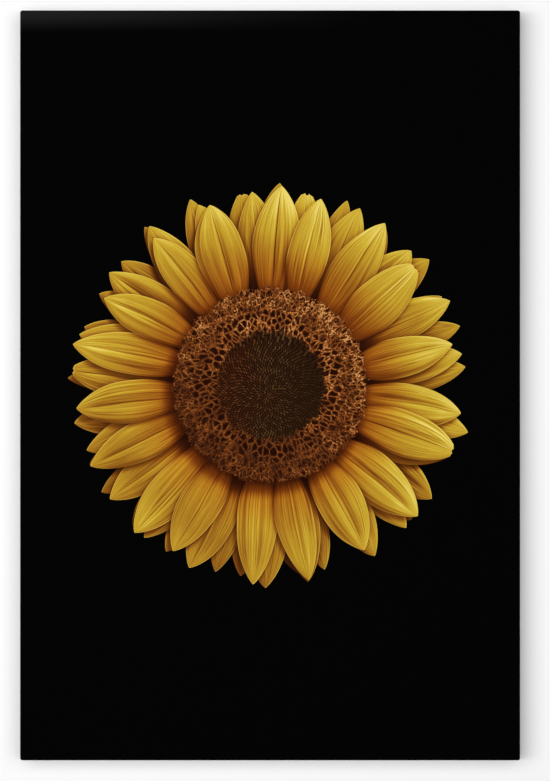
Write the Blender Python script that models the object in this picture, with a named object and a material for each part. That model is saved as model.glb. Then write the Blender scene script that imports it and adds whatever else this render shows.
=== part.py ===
"""A stretched canvas print: printed canvas wrapped round a mitred wooden stretcher frame, and its hanger.

The frame is metres, +Z up. The wall is the plane y = 0 and the printed face looks along -Y. The origin is
where the picture nail carries the sawtooth hanger, on the print's centre line.

The four bars are drawn in one bar frame: X runs along the bar, Z points out of the picture with z = 0 at
the bar's outer edge, and y = 0 is the bar's back. turned_to() then puts that frame on each side.
"""

import math

import bmesh
import bpy
from mathutils import Matrix, Vector

# Driving dimensions.
PRINT_WIDTH = 0.400
PRINT_HEIGHT = 0.600
WRAP_DEPTH = 0.020  # from the back of the turned-over canvas to the printed face
HANG_DROP = 0.036  # from the print's top edge down to the nail
CLOTH = 0.0005  # thickness of the canvas
GAP = 0.0003  # left between pieces that touch
FLAP = 0.024  # canvas turned on to the back of the bars

# Stretcher bars.
BAR_WIDTH = 0.040
BAR_DEPTH = WRAP_DEPTH - 2 * (CLOTH + GAP)
BAR_INNER_DEPTH = 0.0150  # the front slopes back from the bead, clear of the canvas
EDGE_ROUND = 0.0006  # rounding of the outer front edge, which the canvas turns over
CORNER_ROUND = 0.0010  # rounding of the frame's four outer corners
ROUND_STEPS = 3
BACK_EASE = 0.0008  # small chamfers on the other long edges
BEAD_WIDTH = 0.0075  # raised bead that alone carries the canvas
BEAD_HEIGHT = 0.0018
BEAD_SLOPE = 0.0030

# Corner joints: a tongue on each upright bar, a slot in each level bar, and two keys.
LAYER_MIDDLE = 0.0080  # depth of the joint's middle plane from the bar's back
TONGUE_THICK = 0.0050
TONGUE_MARGIN = 0.0036  # the tongue stops this far from the outer edges
KEY_THICK = 0.0044
KEY_SLOT_END = 0.0586  # how far from the corner the key's slot runs
KEY_SLOT_FLOOR = 0.0234
KEY_TIP = 0.0240  # inner end of the key, measured from the bar's outer edge
KEY_TIP_WIDTH = 0.0050
KEY_TAIL = 0.0560  # outer end of the key, measured the same way
KEY_TAIL_WIDTH = 0.0125
KEY_CORNER_GAP = 0.0015  # from the key's end to the diagonal of the corner

# Staples through the turned-over canvas.
STAPLE_WIRE = 0.0006
STAPLE_WIDTH = 0.0012
STAPLE_CROWN = 0.0100
STAPLE_LEG = 0.0060
STAPLE_INSET = 0.0120  # from the print's edge to the row of staples
STAPLES_LEVEL = 7
STAPLES_UPRIGHT = 11
STAPLE_END = 0.0350  # from the print's corner to the first staple

# Hanger, its nails and the wall pads.
HANGER_LENGTH = 0.0460
HANGER_HEIGHT = 0.0090
HANGER_PLATE = 0.0008
HANGER_RISE = 0.0014  # the toothed middle stands off the bar by this much more
HANGER_FLAT = 0.0150  # half length of the raised middle
HANGER_RAMP = 0.0020
TOOTH_PITCH = 0.0024
TOOTH_HEIGHT = 0.0014
TEETH = 11
NAIL_REACH = 0.0200  # from the centre line to each hanger nail
NAIL_RADIUS = 0.0009
NAIL_HEAD_RADIUS = 0.0022
NAIL_HEAD = 0.0008
NAIL_LENGTH = 0.0100
PAD_RADIUS = 0.0060
PAD_THICK = 0.0030
PAD_EASE = 0.0006
PAD_INSET = 0.0318  # from the bar's outer edge to the pad's middle
PAD_FROM_CORNER = 0.0800

# Where the layers lie, from the wall forwards.
BAR_BACK = -(PAD_THICK + GAP)
CLOTH_BACK = BAR_BACK + GAP + CLOTH
PRINT_CENTRE = HANG_DROP - PRINT_HEIGHT / 2
BAR_EDGE = CLOTH + GAP  # from the print's edge to the bar's outer edge
MITRE_CUT = GAP * math.sqrt(0.5)
SIDES = ("top", "right", "bottom", "left")


def clear_scene():
    for item in list(bpy.data.objects):
        bpy.data.objects.remove(item)


def plain_material(name, colour, roughness, metallic=0.0):
    made = bpy.data.materials.new(name)
    made.use_nodes = True
    shader = made.node_tree.nodes["Principled BSDF"]
    shader.inputs["Base Color"].default_value = (*colour, 1.0)
    shader.inputs["Roughness"].default_value = roughness
    shader.inputs["Metallic"].default_value = metallic
    return made


def add_object(name, bm, material=None, place=None):
    """Turns a bmesh into a linked object, standing at the matrix place."""
    if not any(edge.is_boundary for edge in bm.edges):
        bmesh.ops.recalc_face_normals(bm, faces=bm.faces)
    mesh = bpy.data.meshes.new(name)
    bm.to_mesh(mesh)
    bm.free()
    made = bpy.data.objects.new(name, mesh)
    bpy.context.scene.collection.objects.link(made)
    if material:
        mesh.materials.append(material)
    if place:
        made.matrix_world = place
    return made


def add_helper(name, bm, place=None):
    """A cutter or a piece to be joined: seen as wire, and no part of the model."""
    made = add_object(name, bm, place=place)
    made.hide_render = True
    made.display_type = "WIRE"
    return made


def add_boolean(target, helper, operation):
    step = target.modifiers.new(f"{operation.lower()} {helper.name}", "BOOLEAN")
    step.operation = operation
    step.solver = "EXACT"
    step.object = helper


def prism(outline, start, end):
    """The flat outline, given as (x, z) points, extruded along y from start to end."""
    bm = bmesh.new()
    face = bm.faces.new([bm.verts.new((x, start, z)) for x, z in outline])
    grown = bmesh.ops.extrude_face_region(bm, geom=[face])
    moved = [item for item in grown["geom"] if isinstance(item, bmesh.types.BMVert)]
    bmesh.ops.translate(bm, verts=moved, vec=(0, end - start, 0))
    return bm


def wrapped_box(margin, back):
    """The frame's outer shape grown by margin all round, from y = back to the grown front.

    Its four corners and the edges of its front face are rounded.
    """
    front = BAR_BACK - BAR_DEPTH - margin
    reach = margin - BAR_EDGE
    size = (PRINT_WIDTH + 2 * reach, back - front, PRINT_HEIGHT + 2 * reach)
    bm = bmesh.new()
    place = Matrix.Translation((0, (back + front) / 2, PRINT_CENTRE)) @ Matrix.Diagonal((*size, 1))
    bmesh.ops.create_cube(bm, size=1.0, matrix=place)
    corners = [edge for edge in bm.edges if len({round(v.co.x, 5) for v in edge.verts}) == 1]
    corners = [edge for edge in corners if len({round(v.co.z, 5) for v in edge.verts}) == 1]
    round_edges(bm, corners, CORNER_ROUND + margin)
    rim = [edge for edge in bm.edges if all(v.co.y < front + GAP / 2 for v in edge.verts)]
    round_edges(bm, rim, EDGE_ROUND + margin)
    return bm


def round_edges(bm, edges, radius):
    bmesh.ops.bevel(
        bm,
        geom=edges,
        offset=radius,
        segments=ROUND_STEPS,
        profile=0.5,
        affect="EDGES",
        material=-1,
    )


def turned_to(side):
    """The bar frame of one side of the print, as a matrix."""
    angle = math.radians(90 * SIDES.index(side))
    reach = (PRINT_WIDTH if side in ("left", "right") else PRINT_HEIGHT) / 2 - BAR_EDGE
    outward = Vector((math.sin(angle), 0, math.cos(angle)))
    centre = Vector((0, BAR_BACK, PRINT_CENTRE)) + outward * reach
    return Matrix.Translation(centre) @ Matrix.Rotation(angle, 4, "Y")


def bar_half(side):
    """Half the length of a bar along its outer edge."""
    return (PRINT_HEIGHT if side in ("left", "right") else PRINT_WIDTH) / 2 - BAR_EDGE


def bar_profile():
    """(distance in from the outer edge, height above the back) round the bar's section.

    The outer and front sides stand proud, to be trimmed to the frame's rounded shape.
    """
    proud = 0.001
    return [
        (-proud, 0),
        (-proud, BAR_DEPTH + proud),
        (BEAD_WIDTH - BEAD_SLOPE * proud / BEAD_HEIGHT, BAR_DEPTH + proud),
        (BEAD_WIDTH + BEAD_SLOPE, BAR_DEPTH - BEAD_HEIGHT),
        (BAR_WIDTH - BACK_EASE, BAR_INNER_DEPTH),
        (BAR_WIDTH, BAR_INNER_DEPTH - BACK_EASE),
        (BAR_WIDTH, BACK_EASE),
        (BAR_WIDTH - BACK_EASE, 0),
    ]


def bar_mesh(half):
    """A bar with mitred ends: each long edge is shorter the further in it lies."""
    bm = bmesh.new()
    face = bm.faces.new([bm.verts.new((0, -height, -inset)) for inset, height in bar_profile()])
    ends = {-1: list(face.verts)}
    grown = bmesh.ops.extrude_face_region(bm, geom=[face])
    ends[1] = [item for item in grown["geom"] if isinstance(item, bmesh.types.BMVert)]
    for sign, verts in ends.items():
        for vert in verts:
            vert.co.x = sign * (half + vert.co.z - MITRE_CUT)
    return bm


def at_both_ends(half, outline, thickness, name, place):
    """The same flat shape in the joint's middle plane at both ends of a bar.

    The outline's points are (distance from the bar's end, distance in from its outer edge).
    """
    helpers = []
    for sign, end in ((-1, "start"), (1, "end")):
        points = [(sign * (half - along), -inset) for along, inset in outline]
        middle = -LAYER_MIDDLE
        bm = prism(points, middle - thickness / 2, middle + thickness / 2)
        helpers.append(add_helper(f"{name}_{end}", bm, place))
    return helpers


def slot_outline():
    """Slot for the other bar's tongue, running on into the shallower slot for the key."""
    beyond = 0.005
    tongue_floor = TONGUE_MARGIN - GAP
    tongue_end = BAR_WIDTH - GAP / 2
    inner = BAR_WIDTH + beyond
    return [
        (-beyond, tongue_floor),
        (tongue_end, tongue_floor),
        (tongue_end, KEY_SLOT_FLOOR),
        (KEY_SLOT_END, KEY_SLOT_FLOOR),
        (KEY_SLOT_END, inner),
        (-beyond, inner),
    ]


def key_slot_outline():
    beyond = 0.005
    start = BAR_WIDTH - GAP / 2
    inner = BAR_WIDTH + beyond
    return [(start, KEY_SLOT_FLOOR), (KEY_SLOT_END, KEY_SLOT_FLOOR), (KEY_SLOT_END, inner), (start, inner)]


def tongue_outline():
    root = 0.058
    tongue_side = BAR_WIDTH - 2 * GAP
    return [
        (TONGUE_MARGIN, TONGUE_MARGIN),
        (root, TONGUE_MARGIN),
        (root, tongue_side),
        (TONGUE_MARGIN, tongue_side),
    ]


def key_outline():
    """A thin wedge, leaning along the corner's diagonal so that the pair don't meet."""
    tip_start = BAR_WIDTH + 0.001
    tail_start = KEY_TAIL + KEY_CORNER_GAP
    return [
        (tip_start, KEY_TIP),
        (tip_start + KEY_TIP_WIDTH, KEY_TIP),
        (tail_start + KEY_TAIL_WIDTH, KEY_TAIL),
        (tail_start, KEY_TAIL),
    ]


def make_bar(side, outer_shape, material):
    place, half = turned_to(side), bar_half(side)
    bar = add_object(f"{side}_bar", bar_mesh(half), material, place)
    add_boolean(bar, outer_shape, "INTERSECT")
    slot_thick = TONGUE_THICK + 2 * GAP
    if side in ("left", "right"):
        for tongue in at_both_ends(half, tongue_outline(), TONGUE_THICK, f"{side}_tongue", place):
            add_boolean(bar, tongue, "UNION")
        slots = at_both_ends(half, key_slot_outline(), slot_thick, f"{side}_key_slot", place)
    else:
        slots = at_both_ends(half, slot_outline(), slot_thick, f"{side}_slot", place)
    for slot in slots:
        add_boolean(bar, slot, "DIFFERENCE")
    return bar


def make_keys(side, material):
    half, place = bar_half(side), turned_to(side)
    for sign, end in ((-1, "start"), (1, "end")):
        points = [(sign * (half - along), -inset) for along, inset in key_outline()]
        bm = prism(points, -LAYER_MIDDLE - KEY_THICK / 2, -LAYER_MIDDLE + KEY_THICK / 2)
        add_object(f"{side}_key_{end}", bm, material, place)


def make_canvas(legs, material):
    """The canvas as one pan: the printed face, four sides, and a ring turned on to the back."""
    canvas = add_object("printed_canvas", wrapped_box(BAR_EDGE, CLOTH_BACK), material)
    inside = add_helper("inside_of_canvas", wrapped_box(GAP, CLOTH_BACK - CLOTH))
    bm = bmesh.new()
    size = Vector((PRINT_WIDTH - 2 * FLAP, WRAP_DEPTH, PRINT_HEIGHT - 2 * FLAP))
    place = Matrix.Translation((0, CLOTH_BACK, PRINT_CENTRE)) @ Matrix.Diagonal((*size, 1))
    bmesh.ops.create_cube(bm, size=1.0, matrix=place)
    opening = add_helper("opening_of_canvas", bm)
    for cutter in (inside, opening, legs):
        add_boolean(canvas, cutter, "DIFFERENCE")


def staple_places():
    """(name, matrix) of each staple: its bar's frame, moved along to the staple."""
    for side in SIDES:
        count = STAPLES_UPRIGHT if side in ("left", "right") else STAPLES_LEVEL
        reach = bar_half(side) + BAR_EDGE - STAPLE_END
        for index in range(count):
            along = reach * (2 * index / (count - 1) - 1)
            seat = Vector((along, CLOTH_BACK + GAP - BAR_BACK, BAR_EDGE - STAPLE_INSET))
            yield f"{side}_staple_{index + 1:02d}", turned_to(side) @ Matrix.Translation(seat)


def staple_mesh():
    """A square-cornered U of flat wire. y = 0 is the underside of its crown."""
    outer = STAPLE_CROWN / 2
    inner = outer - STAPLE_WIRE
    bm = bmesh.new()
    outline = [
        (-outer, STAPLE_WIRE),
        (-outer, -STAPLE_LEG),
        (-inner, -STAPLE_LEG),
        (-inner, 0),
        (inner, 0),
        (inner, -STAPLE_LEG),
        (outer, -STAPLE_LEG),
        (outer, STAPLE_WIRE),
    ]
    face = bm.faces.new([bm.verts.new((x, y, -STAPLE_WIDTH / 2)) for x, y in outline])
    grown = bmesh.ops.extrude_face_region(bm, geom=[face])
    moved = [item for item in grown["geom"] if isinstance(item, bmesh.types.BMVert)]
    bmesh.ops.translate(bm, verts=moved, vec=(0, 0, STAPLE_WIDTH))
    return bm


def leg_holes():
    """Clearance for every staple leg, as separate boxes in one cutter."""
    bm = bmesh.new()
    across = STAPLE_WIRE + 2 * GAP
    start = STAPLE_WIRE / 2
    end = -STAPLE_LEG - GAP
    size = Vector((across, start - end, STAPLE_WIDTH + 2 * GAP))
    for _, place in staple_places():
        for sign in (-1, 1):
            at = Vector((sign * (STAPLE_CROWN - STAPLE_WIRE) / 2, (start + end) / 2, 0))
            shape = place @ Matrix.Translation(at) @ Matrix.Diagonal((*size, 1.0))
            bmesh.ops.create_cube(bm, size=1.0, matrix=shape)
    return add_helper("leg_holes", bm)


def make_staples(material):
    shared = None
    for name, place in staple_places():
        if shared is None:
            shared = add_object(name, staple_mesh(), material, place).data
            continue
        copy = bpy.data.objects.new(name, shared)
        bpy.context.scene.collection.objects.link(copy)
        copy.matrix_world = place


def hanger_stand_off(x):
    """How far the hanger's plate is bent away from the bar at x."""
    past = (abs(x) - HANGER_FLAT) / HANGER_RAMP
    return HANGER_RISE * (1 - min(max(past, 0), 1))


def make_hanger(material):
    """A strip with teeth along its lower edge, bent so that its middle stands off the bar.

    The sheet's faces look away from the bar, and its thickness grows that way.
    """
    toothed = TEETH * TOOTH_PITCH / 2
    stations = [-HANGER_LENGTH / 2, -HANGER_FLAT - HANGER_RAMP, -HANGER_FLAT]
    stations += [-toothed + step * TOOTH_PITCH / 2 for step in range(2 * TEETH + 1)]
    stations += [HANGER_FLAT, HANGER_FLAT + HANGER_RAMP, HANGER_LENGTH / 2]
    bm = bmesh.new()
    seat = BAR_BACK + GAP
    rows = []
    for x in stations:
        step = round((x + toothed) / (TOOTH_PITCH / 2))
        in_valley = abs(x) < toothed + GAP and step % 2 == 1
        low = 0 if in_valley else -TOOTH_HEIGHT
        y = seat + hanger_stand_off(x)
        high = HANGER_HEIGHT - TOOTH_HEIGHT
        rows.append([bm.verts.new((x, y, low)), bm.verts.new((x, y, high))])
    for before, after in zip(rows, rows[1:]):
        bm.faces.new((before[0], before[1], after[1], after[0]))
    hanger = add_object("sawtooth_hanger", bm, material)
    wall = hanger.modifiers.new("thickness", "SOLIDIFY")
    wall.thickness = HANGER_PLATE
    wall.offset = 1.0
    wall.use_even_offset = True
    return hanger


def nail_height():
    return HANGER_HEIGHT / 2 - TOOTH_HEIGHT


def turned_solid(profile, sides):
    """A solid turned about the y axis from (radius, y) points that start and end on it."""
    bm = bmesh.new()
    verts = [bm.verts.new((radius, y, 0)) for radius, y in profile]
    edges = [bm.edges.new(pair) for pair in zip(verts, verts[1:])]
    bmesh.ops.spin(
        bm,
        geom=verts + edges,
        cent=(0, 0, 0),
        axis=(0, 1, 0),
        angle=math.tau,
        steps=sides,
        use_merge=True,
    )
    bmesh.ops.remove_doubles(bm, verts=bm.verts, dist=1e-6)
    return bm


def make_nails(material):
    """Two flat-headed nails through the ends of the hanger, and the cutter for their holes."""
    head = BAR_BACK + 2 * GAP + HANGER_PLATE
    point = NAIL_RADIUS * 2
    end = head - NAIL_LENGTH
    profile = [
        (0, head + NAIL_HEAD),
        (NAIL_HEAD_RADIUS, head + NAIL_HEAD),
        (NAIL_HEAD_RADIUS, head),
        (NAIL_RADIUS, head),
        (NAIL_RADIUS, end + point),
        (0, end),
    ]
    hole = NAIL_RADIUS + GAP
    drilled = [(0, head - GAP / 2), (hole, head - GAP / 2), (hole, end - GAP), (0, end - GAP)]
    holes = []
    for sign, side in ((-1, "left"), (1, "right")):
        place = Matrix.Translation((sign * NAIL_REACH, 0, nail_height()))
        add_object(f"hanger_nail_{side}", turned_solid(profile, 16), material, place)
        holes.append(add_helper(f"nail_hole_{side}", turned_solid(drilled, 12), place))
    return holes


def make_pads(material):
    """Four soft pads on the bare wood of the upright bars, which rest on the wall."""
    profile = [
        (0, 0),
        (PAD_RADIUS - PAD_EASE, 0),
        (PAD_RADIUS, -PAD_EASE),
        (PAD_RADIUS, -PAD_THICK),
        (0, -PAD_THICK),
    ]
    reach = bar_half("top") - PAD_INSET
    height = PRINT_HEIGHT / 2 - PAD_FROM_CORNER
    for level, up in (("top", 1), ("bottom", -1)):
        for side, across in (("left", -1), ("right", 1)):
            place = Matrix.Translation((across * reach, 0, PRINT_CENTRE + up * height))
            add_object(f"wall_pad_{level}_{side}", turned_solid(profile, 28), material, place)


def main():
    clear_scene()
    printed = plain_material("printed_canvas", (0.012, 0.011, 0.010), 0.55)
    pine = plain_material("pine", (0.78, 0.60, 0.38), 0.6)
    birch = plain_material("birch_key", (0.80, 0.66, 0.46), 0.6)
    wire = plain_material("staple_wire", (0.62, 0.62, 0.64), 0.35, 1.0)
    plate = plain_material("hanger_plate", (0.66, 0.67, 0.68), 0.35, 1.0)
    felt = plain_material("wall_pad", (0.05, 0.05, 0.055), 0.9)

    outer_shape = add_helper("outer_shape", wrapped_box(0, BAR_BACK + BAR_DEPTH))
    nail_holes = make_nails(plate)
    legs = leg_holes()
    make_canvas(legs, printed)
    for side in SIDES:
        bar = make_bar(side, outer_shape, pine)
        add_boolean(bar, legs, "DIFFERENCE")
        make_keys(side, birch)
        if side == "top":
            for hole in nail_holes:
                add_boolean(bar, hole, "DIFFERENCE")
    hanger = make_hanger(plate)
    for hole in nail_holes:
        add_boolean(hanger, hole, "DIFFERENCE")
    make_staples(wire)
    make_pads(felt)


main()
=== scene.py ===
# %% [markdown]
# # A stretched canvas print
# The object is a picture printed on cotton canvas, wrapped round a wooden stretcher frame and hung on a
# wall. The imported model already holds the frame's bars, keys, staples, hanger and pads at their real
# size. This script dresses them in their finishes and makes the one soft piece, the canvas, as a real
# sheet with the picture on it.

# %% The fixed frame
import itertools
import math
import random
from dataclasses import dataclass

import bmesh
import bpy
import numpy as np
from mathutils import Matrix, Vector
from mathutils.geometry import delaunay_2d_cdt


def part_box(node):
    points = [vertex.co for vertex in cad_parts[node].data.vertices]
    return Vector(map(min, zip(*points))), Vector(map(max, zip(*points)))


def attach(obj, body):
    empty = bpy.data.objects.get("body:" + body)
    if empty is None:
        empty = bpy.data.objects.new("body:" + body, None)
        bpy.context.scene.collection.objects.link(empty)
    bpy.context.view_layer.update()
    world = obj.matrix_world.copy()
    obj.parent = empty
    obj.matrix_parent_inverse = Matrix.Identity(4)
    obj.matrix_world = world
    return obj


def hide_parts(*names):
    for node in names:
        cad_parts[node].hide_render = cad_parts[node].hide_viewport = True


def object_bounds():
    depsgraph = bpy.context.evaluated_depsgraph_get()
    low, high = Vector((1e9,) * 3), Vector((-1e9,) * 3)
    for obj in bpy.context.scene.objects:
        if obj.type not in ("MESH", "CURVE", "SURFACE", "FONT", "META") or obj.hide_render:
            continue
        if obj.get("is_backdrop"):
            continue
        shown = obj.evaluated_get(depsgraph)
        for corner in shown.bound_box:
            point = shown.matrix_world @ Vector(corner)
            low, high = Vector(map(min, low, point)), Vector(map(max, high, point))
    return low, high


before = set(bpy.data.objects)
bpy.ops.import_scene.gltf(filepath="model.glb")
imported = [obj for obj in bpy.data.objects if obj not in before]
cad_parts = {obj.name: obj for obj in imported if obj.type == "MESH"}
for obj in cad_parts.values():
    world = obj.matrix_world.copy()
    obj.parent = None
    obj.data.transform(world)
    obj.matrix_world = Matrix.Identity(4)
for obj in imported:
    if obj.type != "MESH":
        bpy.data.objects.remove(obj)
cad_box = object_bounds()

print("pieces in the frame:", len(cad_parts))


def nodes_with(part):
    """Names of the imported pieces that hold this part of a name."""
    return [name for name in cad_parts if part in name]


# %% [markdown]
# ## Measures
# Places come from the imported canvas: its box gives the picture's width, height and wrap. The picture is
# drawn in millimetres from the flower's middle, because petals and seeds are easier to think of that way.

# %% Measures
MM = 0.001
low, high = (Vector(corner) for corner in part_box("printed_canvas"))
WIDTH, DEPTH, HEIGHT = high - low
MIDDLE = (low + high) / 2
FACE_Y = low.y
CLOTH = 0.5 * MM
TURN_OVER = 24 * MM
SIDE_ROUND = 1.8 * MM
RIM_ROUND = 1.4 * MM
FLOWER = Vector((MIDDLE.x, FACE_Y, MIDDLE.z))
print(f"canvas {WIDTH:.3f} x {HEIGHT:.3f} m, wrap {DEPTH * 1000:.0f} mm")

# %% [markdown]
# ## Camera
# The print is seen straight on, so the camera looks square at it, a few millimetres off its middle. A
# long lens keeps the sides of the wrap out of sight.

# %% Camera
PANEL_SHARE = 0.9081  # the print's share of the view's width
VIEW_SHAPE = 0.705506  # the view's width for each unit of its height
RIGHT_OF_MIDDLE = 4.3 * MM
UNDER_MIDDLE = 4.1 * MM
LENS = 100
SENSOR = 36


def add_camera():
    data = bpy.data.cameras.new("camera")
    camera = bpy.data.objects.new("camera", data)
    bpy.context.scene.collection.objects.link(camera)
    data.lens = LENS
    data.sensor_width = SENSOR
    seen_height = WIDTH / PANEL_SHARE / VIEW_SHAPE
    distance = seen_height * LENS / SENSOR
    camera.location = (MIDDLE.x + RIGHT_OF_MIDDLE, FACE_Y - distance, MIDDLE.z - UNDER_MIDDLE)
    camera.rotation_euler = (math.radians(90), 0, 0)
    bpy.context.scene.camera = camera
    return distance


print(f"camera {add_camera():.2f} m from the print")

# %% [markdown]
# ## A short way to write materials
# Every finish here is a graph of nodes. A `Wire` stands for one value on its way through the graph, so
# that `a * 0.5 + b` adds the Math nodes it means, and a finish reads like a sum.


# %% Wires
class Wire:
    """A value in a material's node tree."""

    def __init__(self, tree, socket):
        self.tree = tree
        self.socket = socket

    def math(self, operation, *others):
        return through(self.tree, "Math", 0, enumerate((self, *others)), operation=operation)

    def __add__(self, other):
        return self.math("ADD", other)

    def __sub__(self, other):
        return self.math("SUBTRACT", other)

    def __mul__(self, other):
        return self.math("MULTIPLY", other)

    def __truediv__(self, other):
        return self.math("DIVIDE", other)

    def rises(self, start, end, low=0.0, high=1.0):
        """Goes smoothly from low to high as this value goes from start to end."""
        names = ("Value", "From Min", "From Max", "To Min", "To Max")
        inputs = zip(names, (self, start, end, low, high))
        return through(self.tree, "MapRange", "Result", inputs, interpolation_type="SMOOTHSTEP")

    def falls(self, start, end):
        """Goes smoothly from 1 to 0 as this value goes from start to end."""
        return self.rises(start, end, 1.0, 0.0)

    def near(self, place, reach):
        """1 where this value is at place, falling to 0 at reach from it."""
        return (self - place).math("ABSOLUTE").falls(0.0, reach)

    def parts(self):
        node = self.tree.nodes.new("ShaderNodeSeparateXYZ")
        plug(self, node.inputs[0])
        return [Wire(self.tree, socket) for socket in node.outputs]

    def ramp(self, *stops):
        """Colours along this value: each stop is (position, (red, green, blue))."""
        node = self.tree.nodes.new("ShaderNodeValToRGB")
        elements = node.color_ramp.elements
        while len(elements) < len(stops):
            elements.new(0.5)
        for element, (position, colour) in zip(elements, stops):
            element.position = position
            element.color = (*colour, 1.0)
        plug(self, node.inputs["Fac"])
        return Wire(self.tree, node.outputs["Color"])


def plug(value, socket):
    """Puts a wire, a number, a vector or a colour on a socket."""
    if isinstance(value, Wire):
        value.tree.links.new(value.socket, socket)
    elif isinstance(value, tuple) and len(socket.default_value) == 4:
        socket.default_value = (*value, 1.0)
    else:
        socket.default_value = value


def through(tree, kind, output, inputs=(), **settings):
    """The wire out of a new node, which has these settings and these values on its inputs."""
    node = tree.nodes.new("ShaderNode" + kind)
    for name, value in settings.items():
        setattr(node, name, value)
    for name, value in inputs:
        plug(value, node.inputs[name])
    return Wire(tree, node.outputs[output])


def tree_of(*values):
    return next(value.tree for value in values if isinstance(value, Wire))


def vector(x, y, z=0.0):
    return through(tree_of(x, y, z), "CombineXYZ", 0, enumerate((x, y, z)))


def vector_math(operation, first, *others):
    output = "Value" if operation == "LENGTH" else "Vector"
    return through(first.tree, "VectorMath", output, enumerate((first, *others)), operation=operation)


def noise(place, scale, detail=2.0, roughness=0.5, colour=False):
    inputs = {"Vector": place, "Scale": scale, "Detail": detail, "Roughness": roughness}
    return through(place.tree, "TexNoise", "Color" if colour else "Fac", inputs.items())


def cells(place, size=1.0, randomness=1.0, feature="F1"):
    """How far the place is from the middle of its cell, in cells of this size, or from another feature."""
    inputs = {"Vector": place, "Scale": 1 / size, "Randomness": randomness}
    return through(place.tree, "TexVoronoi", "Distance", inputs.items(), feature=feature)


def chance(seed):
    """A random value from 0 to 1 for each value of seed."""
    return through(seed.tree, "TexWhiteNoise", "Value", [("W", seed)], noise_dimensions="1D")


def blend(share, first, second, kind="MIX"):
    """The first colour, with share of the second laid over it."""
    inputs = ((0, share), (6, first), (7, second))
    return through(tree_of(share, first, second), "Mix", 2, inputs, data_type="RGBA", blend_type=kind)


class Finish:
    """A new material with its Principled shader, and the values that a surface can read."""

    def __init__(self, name, roughness=0.5, metallic=0.0, specular=0.5):
        self.material = bpy.data.materials.new(name)
        self.material.use_nodes = True
        self.tree = self.material.node_tree
        self.shader = self.tree.nodes["Principled BSDF"]
        self.set("Roughness", roughness)
        self.set("Metallic", metallic)
        self.set("Specular IOR Level", specular)

    def set(self, name, value):
        plug(value, self.shader.inputs[name])

    def place(self):
        """The point's place on the object, in millimetres."""
        metres = through(self.tree, "TexCoord", "Object")
        return vector_math("MULTIPLY", metres, (1 / MM, 1 / MM, 1 / MM))

    def map(self, name):
        return through(self.tree, "UVMap", "UV", uv_map=name)

    def value(self, name):
        return through(self.tree, "Attribute", "Fac", attribute_name=name)

    def bump(self, height, depth):
        """Raises the surface by height times depth, in metres."""
        inputs = {"Height": height, "Distance": depth, "Strength": 1.0}
        self.set("Normal", through(self.tree, "Bump", "Normal", inputs.items()))


print("helpers are ready")

# %% [markdown]
# ## The flower's plan
# A sunflower head is a ring of ray petals round a disc of tiny florets. Real petals stand in rows: the
# broad front ones hide most of the narrower ones behind. Here each petal is an outline of its own, and
# the outlines are stacked from the back row to the front, which gives the same crowded look. The numbers
# come from a seeded generator, so the head is the same each time and is nobody's particular flower.


# %% Petals
ROOT = 66.0  # the petals start here, under the disc
RING_EDGE = 78.0  # outer edge of the disc's ring of open florets
DISC_EDGE = 43.0  # edge of the closed florets in the middle


def towards(angle):
    return np.array([math.cos(angle), math.sin(angle)])


@dataclass
class Petal:
    """One petal. Lengths are in millimetres and angles in radians, from the flower's middle."""

    order: int  # the higher one lies on top
    row: int
    angle: float  # where it grows from the head
    lean: float  # how far it turns from straight out
    length: float
    half: float  # half its width at the belly
    belly: float  # where along it that is, from 0 to 1
    skew: float  # how much wider its left half is
    bend: float  # sideways curl at the tip
    teeth: int  # 1 for a plain point, 2 for a notched tip
    notch: float  # depth of the notch, as a share of the length
    tone: float  # its own brightness
    seed: float

    def __post_init__(self):
        self.direction = towards(self.angle + self.lean)
        self.left = np.array([-self.direction[1], self.direction[0]])
        self.base = ROOT * towards(self.angle)

    def half_at(self, along, side):
        """Half width at a share along the petal, on the left (1) or right (-1)."""
        rising = np.clip(along / self.belly, 0, 1)
        falling = np.clip((along - self.belly) / (1 - self.belly), 0, 1)
        root = 0.42 + 0.58 * np.sin(rising * math.pi / 2)
        blunt = 0.02 + 0.18 * (self.teeth - 1)
        tip = blunt + (1 - blunt) * (1 - falling**2.3) ** 0.86
        wave = 1 + 0.025 * np.sin(9 * along + 6 * self.seed) * side
        return self.half * root * tip * wave * (1 + self.skew * side)

    def end_at(self, across):
        """How far along the petal reaches, for a share across it from -1 to 1."""
        return 1 - self.notch * np.abs(np.cos(math.pi * across))

    def middle_at(self, along):
        return self.bend * along**2 + 0.4 * np.sin(6 * along + 5 * self.seed)

    def outline(self):
        """Points once round the petal, anticlockwise."""
        sides = np.linspace(0, 1, 44) ** 0.9
        ends = np.linspace(-1, 1, 12 * self.teeth + 1)
        right = [(share * self.end_at(-1.0), -1.0) for share in sides]
        tip = [(self.end_at(across), across) for across in ends[1:-1]]
        left = [(share * self.end_at(1.0), 1.0) for share in sides[::-1]]
        along, across = np.array([*right, *tip, *left]).T
        reach = self.half_at(along, np.where(across < 0, -1, 1)) * across
        return self.to_picture(along, reach + self.middle_at(along))

    def to_picture(self, along, sideways):
        return self.base + np.outer(along * self.length, self.direction) + np.outer(sideways, self.left)

    def local(self, points):
        """(share along, share across, distance inside the edge) of picture points."""
        offset = points - self.base
        along = offset @ self.direction / self.length
        inside = np.clip(along, 0, 1)
        sideways = offset @ self.left - self.middle_at(inside)
        half = self.half_at(inside, np.where(sideways < 0, -1, 1))
        across = sideways / half
        end = (self.end_at(np.clip(across, -1, 1)) - along) * self.length * 0.7
        edge = np.minimum(half - np.abs(sideways), np.minimum(end, along * self.length))
        return along, across, edge


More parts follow.
